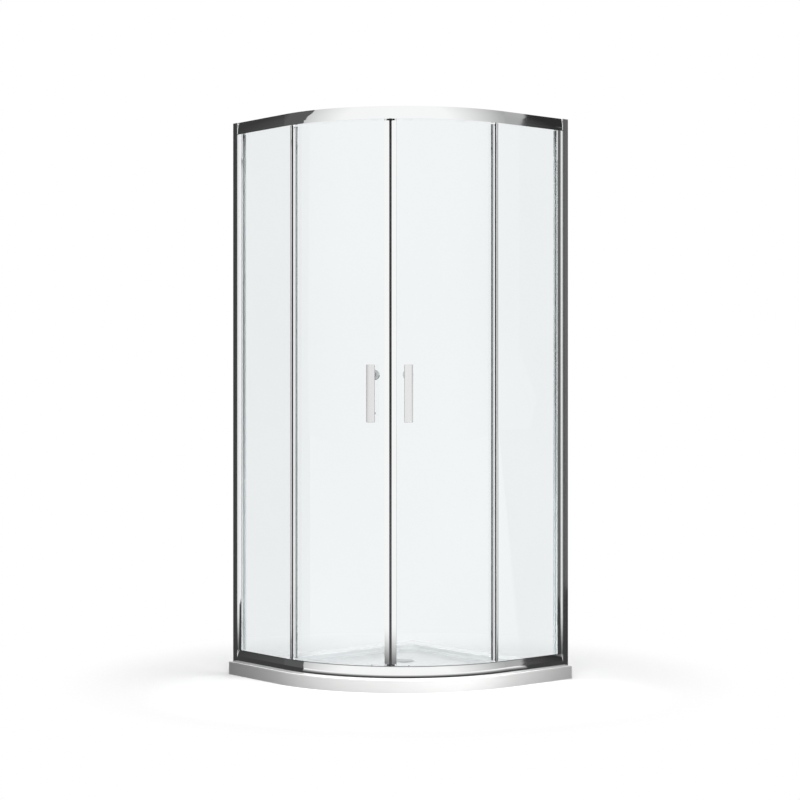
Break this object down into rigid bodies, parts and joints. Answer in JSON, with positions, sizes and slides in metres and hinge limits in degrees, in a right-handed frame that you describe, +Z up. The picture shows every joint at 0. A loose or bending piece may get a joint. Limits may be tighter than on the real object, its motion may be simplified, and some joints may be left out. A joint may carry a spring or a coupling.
{
  "type": "shower enclosure",
  "caption": "Corner shower enclosure with a bowed front: curved glass sliding doors on rollers, flat fixed panels, bright rails and wall channels, and a low white tray with a waste.",
  "frame": {"origin": "middle of the tray's square, on its underside", "axes": "+Z up; the walls it stands against are at its -X and +Y sides, and the bowed front faces +X and -Y"},
  "size_m": [0.85, 0.85, 1.94],
  "materials": {
    "white_tray": "gloss white acrylic on a filled core",
    "clear_glass": "clear toughened safety glass",
    "bright_rail": "bright polished anodised aluminium",
    "bright_profile": "bright polished anodised aluminium",
    "bright_trim": "bright polished anodised aluminium",
    "dark_seal": "dark extruded sealing strip",
    "clear_gasket": "clear soft vinyl",
    "satin_handle": "satin steel",
    "knob_chrome": "polished chrome",
    "waste_chrome": "polished chrome",
    "screw_steel": "stainless steel",
    "grey_plastic": "moulded grey plastic",
    "cap_plastic": "moulded silver-grey plastic",
    "wheel_plastic": "hard white acetal",
    "black_rubber": "moulded black rubber"
  },
  "bodies": {
    "frame": {"shower_tray": "white_tray", "waste_flange": "waste_chrome", "waste_gasket": "black_rubber", "waste_body": "grey_plastic", "left_wall_profile": "bright_profile", "right_wall_profile": "bright_profile", "profile_top_caps": "cap_plastic", "left_side_profile": "bright_profile", "right_side_profile": "bright_profile", "clamp_screws": "screw_steel", "screw_caps": "cap_plastic", "bottom_rail": "bright_rail", "top_rail": "bright_rail", "rail_end_blocks": "grey_plastic", "rail_screws": "screw_steel", "left_fixed_glass": "clear_glass", "right_fixed_glass": "clear_glass", "left_glazing_gasket": "clear_gasket", "right_glazing_gasket": "clear_gasket", "left_edge_trim": "bright_trim", "right_edge_trim": "bright_trim", "left_edge_seal": "dark_seal", "right_edge_seal": "dark_seal", "door_stops": "black_rubber"},
    "left_door": {"left_door_glass": "clear_glass", "left_meeting_stile": "bright_trim", "left_magnet_seal": "dark_seal", "left_trailing_profile": "bright_trim", "left_handle_bar": "satin_handle", "left_handle_posts": "satin_handle", "left_handle_bushes": "clear_gasket", "left_handle_knob": "knob_chrome", "left_cap_nut": "knob_chrome", "left_handle_studs": "screw_steel", "left_roller_carriers": "grey_plastic", "left_carrier_pads": "black_rubber", "left_roller_axles": "screw_steel"},
    "right_door": {"right_door_glass": "clear_glass", "right_meeting_stile": "bright_trim", "right_magnet_seal": "dark_seal", "right_trailing_profile": "bright_trim", "right_handle_bar": "satin_handle", "right_handle_posts": "satin_handle", "right_handle_bushes": "clear_gasket", "right_handle_knob": "knob_chrome", "right_cap_nut": "knob_chrome", "right_handle_studs": "screw_steel", "right_roller_carriers": "grey_plastic", "right_carrier_pads": "black_rubber", "right_roller_axles": "screw_steel"},
    "left_lower_lead_wheel": {"left_lower_lead_wheel": "wheel_plastic"},
    "left_lower_trail_wheel": {"left_lower_trail_wheel": "wheel_plastic"},
    "left_upper_lead_wheel": {"left_upper_lead_wheel": "wheel_plastic"},
    "left_upper_trail_wheel": {"left_upper_trail_wheel": "wheel_plastic"},
    "right_lower_lead_wheel": {"right_lower_lead_wheel": "wheel_plastic"},
    "right_lower_trail_wheel": {"right_lower_trail_wheel": "wheel_plastic"},
    "right_upper_lead_wheel": {"right_upper_lead_wheel": "wheel_plastic"},
    "right_upper_trail_wheel": {"right_upper_trail_wheel": "wheel_plastic"},
    "waste_cover": {"waste_cover": "waste_chrome"}
  },
  "joints": [
    {"name": "left_door_travel", "type": "hinge", "parent": "frame", "child": "left_door", "pos_m": [-0.125, 0.125, 0.9925], "axis": [0, 0, -1], "range_deg": [0, 24]},
    {"name": "right_door_travel", "type": "hinge", "parent": "frame", "child": "right_door", "pos_m": [-0.125, 0.125, 0.9925], "axis": [0, 0, 1], "range_deg": [0, 24]},
    {"name": "left_lower_lead_wheel_spin", "type": "hinge", "parent": "left_door", "child": "left_lower_lead_wheel", "pos_m": [0.17747, -0.26215, 0.0575], "axis": [0.6157, -0.788, 0], "range_deg": [-1356, 0]},
    {"name": "left_lower_trail_wheel_spin", "type": "hinge", "parent": "left_door", "child": "left_lower_trail_wheel", "pos_m": [0.00216, -0.34956, 0.0575], "axis": [0.2588, -0.9659, 0], "range_deg": [-1356, 0]},
    {"name": "left_upper_lead_wheel_spin", "type": "hinge", "parent": "left_door", "child": "left_upper_lead_wheel", "pos_m": [0.17747, -0.26215, 1.9275], "axis": [0.6157, -0.788, 0], "range_deg": [0, 1356]},
    {"name": "left_upper_trail_wheel_spin", "type": "hinge", "parent": "left_door", "child": "left_upper_trail_wheel", "pos_m": [0.00216, -0.34956, 1.9275], "axis": [0.2588, -0.9659, 0], "range_deg": [0, 1356]},
    {"name": "right_lower_lead_wheel_spin", "type": "hinge", "parent": "right_door", "child": "right_lower_lead_wheel", "pos_m": [0.26215, -0.17747, 0.0575], "axis": [0.788, -0.6157, 0], "range_deg": [0, 1356]},
    {"name": "right_lower_trail_wheel_spin", "type": "hinge", "parent": "right_door", "child": "right_lower_trail_wheel", "pos_m": [0.34956, -0.00216, 0.0575], "axis": [0.9659, -0.2588, 0], "range_deg": [0, 1356]},
    {"name": "right_upper_lead_wheel_spin", "type": "hinge", "parent": "right_door", "child": "right_upper_lead_wheel", "pos_m": [0.26215, -0.17747, 1.9275], "axis": [0.788, -0.6157, 0], "range_deg": [-1356, 0]},
    {"name": "right_upper_trail_wheel_spin", "type": "hinge", "parent": "right_door", "child": "right_upper_trail_wheel", "pos_m": [0.34956, -0.00216, 1.9275], "axis": [0.9659, -0.2588, 0], "range_deg": [-1356, 0]},
    {"name": "waste_cover_lift", "type": "slide", "parent": "frame", "child": "waste_cover", "axis": [0, 0, 1], "range_m": [0, 0.06]}
  ],
  "couplings": [
    {"joint": "left_lower_lead_wheel_spin", "follows": "left_door_travel", "ratio": -56.471},
    {"joint": "left_lower_trail_wheel_spin", "follows": "left_door_travel", "ratio": -56.471},
    {"joint": "left_upper_lead_wheel_spin", "follows": "left_door_travel", "ratio": 56.471},
    {"joint": "left_upper_trail_wheel_spin", "follows": "left_door_travel", "ratio": 56.471},
    {"joint": "right_lower_lead_wheel_spin", "follows": "right_door_travel", "ratio": 56.471},
    {"joint": "right_lower_trail_wheel_spin", "follows": "right_door_travel", "ratio": 56.471},
    {"joint": "right_upper_lead_wheel_spin", "follows": "right_door_travel", "ratio": -56.471},
    {"joint": "right_upper_trail_wheel_spin", "follows": "right_door_travel", "ratio": -56.471}
  ]
}
